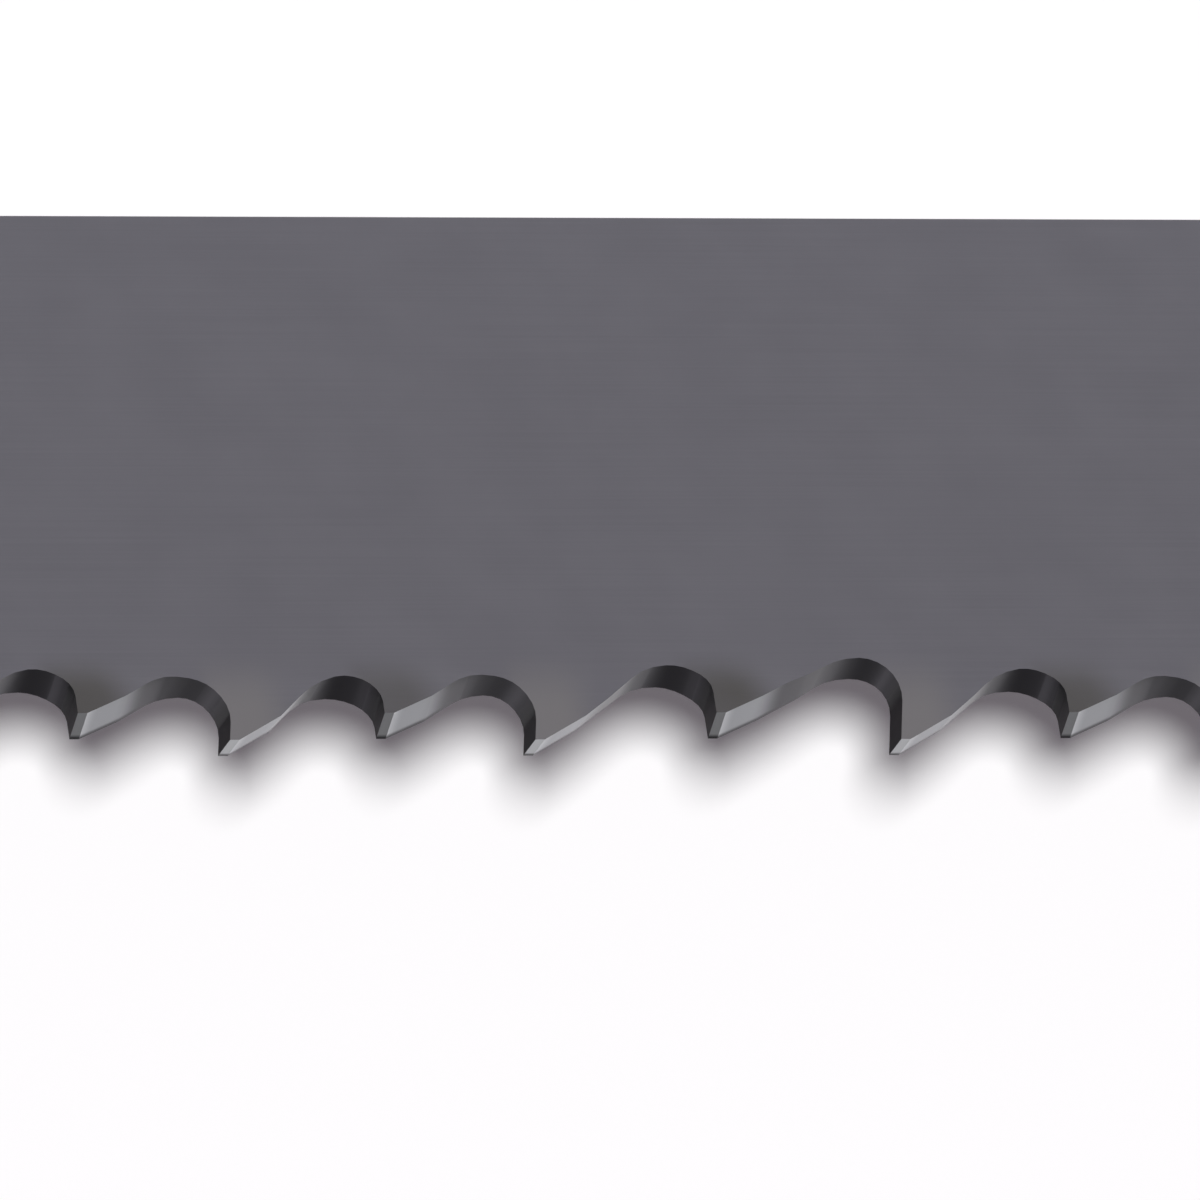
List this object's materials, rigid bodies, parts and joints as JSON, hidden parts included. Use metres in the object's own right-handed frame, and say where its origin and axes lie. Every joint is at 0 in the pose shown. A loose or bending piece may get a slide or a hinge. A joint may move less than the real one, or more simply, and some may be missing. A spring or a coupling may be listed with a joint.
{
  "type": "band saw blade",
  "caption": "Closed loop of thin steel strip with variable pitch, alternately set hook teeth along one edge, shown in its running shape and standing on its back edge.",
  "frame": {"origin": "middle of the loop, in the plane of the back edge that it stands on", "axes": "+X along the two straight spans, +Y across the loop from one span to the other, +Z from the back edge towards the tooth tips"},
  "size_m": [0.5022, 0.122, 0.013],
  "materials": {
    "hardened_strip_steel": "satin dark grey, as rolled and tempered, with brighter ground tooth backs"
  },
  "bodies": {
    "root": {"saw_blade": "hardened_strip_steel"}
  },
  "joints": []
}
